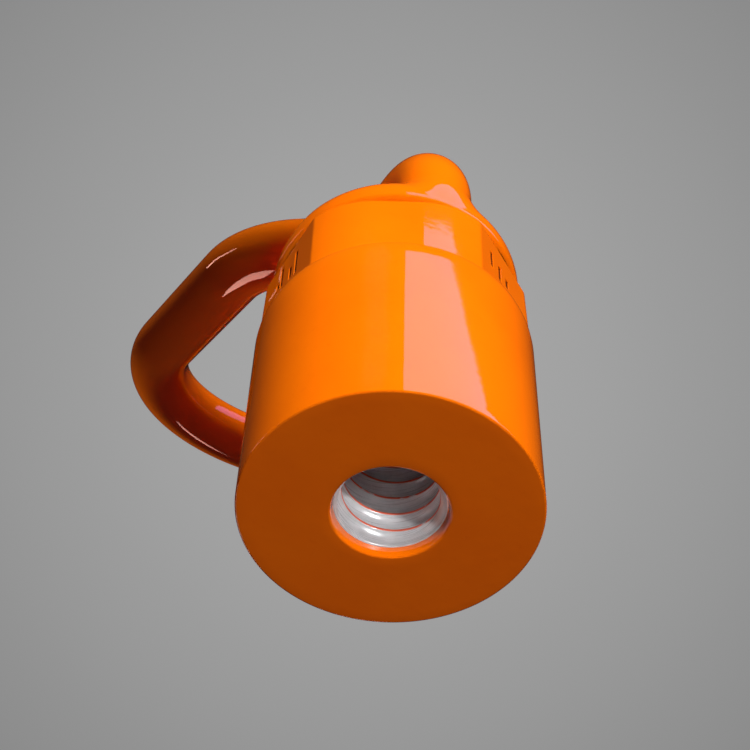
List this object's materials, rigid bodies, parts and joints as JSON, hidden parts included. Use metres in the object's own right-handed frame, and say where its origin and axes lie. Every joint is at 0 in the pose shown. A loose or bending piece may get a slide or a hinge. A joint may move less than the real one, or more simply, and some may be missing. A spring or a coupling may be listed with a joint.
{
  "type": "swivel lifting point",
  "caption": "Ball-bearing swivel lifting point: round housing with wrench flats and a coarse female thread in its base, a turning forged eye and a closed pear-shaped load link.",
  "frame": {"origin": "centre of the flat bottom face of the housing, on the thread axis", "axes": "+Z along the thread and swivel axis, towards the eye; -Y faces the front wrench flat; the link leans back between +Y and -X"},
  "size_m": [0.1348, 0.1778, 0.1841],
  "materials": {
    "orange_paint": "gloss",
    "thread_steel": "satin",
    "hard_steel": "ground",
    "bronze": "machined",
    "rubber": "matt"
  },
  "bodies": {
    "housing": {"body_housing": "orange_paint", "thread_bush": "thread_steel", "bush_lock_pins": "hard_steel", "closing_disc": "hard_steel", "disc_snap_ring": "hard_steel", "gland_ring": "hard_steel", "gland_set_screws": "hard_steel", "spindle_bush": "bronze", "spindle_seal": "rubber", "wear_washer": "bronze", "dust_seal": "rubber", "bearing_upper_race": "hard_steel"},
    "cage": {"bearing_cage": "bronze", "bearing_balls": "hard_steel"},
    "eye": {"swivel_eye": "orange_paint", "spindle_nut": "hard_steel", "nut_cross_pin": "hard_steel", "bearing_lower_race": "hard_steel", "bearing_shim": "hard_steel"},
    "link": {"load_link": "orange_paint"}
  },
  "joints": [
    {"name": "eye_swivel", "type": "hinge", "parent": "housing", "child": "eye", "pos_m": [0, 0, 0.0946], "axis": [0, 0, 1], "continuous": true},
    {"name": "cage_roll", "type": "hinge", "parent": "housing", "child": "cage", "pos_m": [0, 0, 0.0704], "axis": [0, 0, 1], "continuous": true},
    {"name": "link_tilt", "type": "hinge", "parent": "eye", "child": "link", "pos_m": [0, 0, 0.1121], "axis": [0.9135, 0.4067, 0], "range_deg": [0, 130.8]}
  ],
  "couplings": [
    {"joint": "cage_roll", "follows": "eye_swivel", "ratio": 0.5}
  ]
}
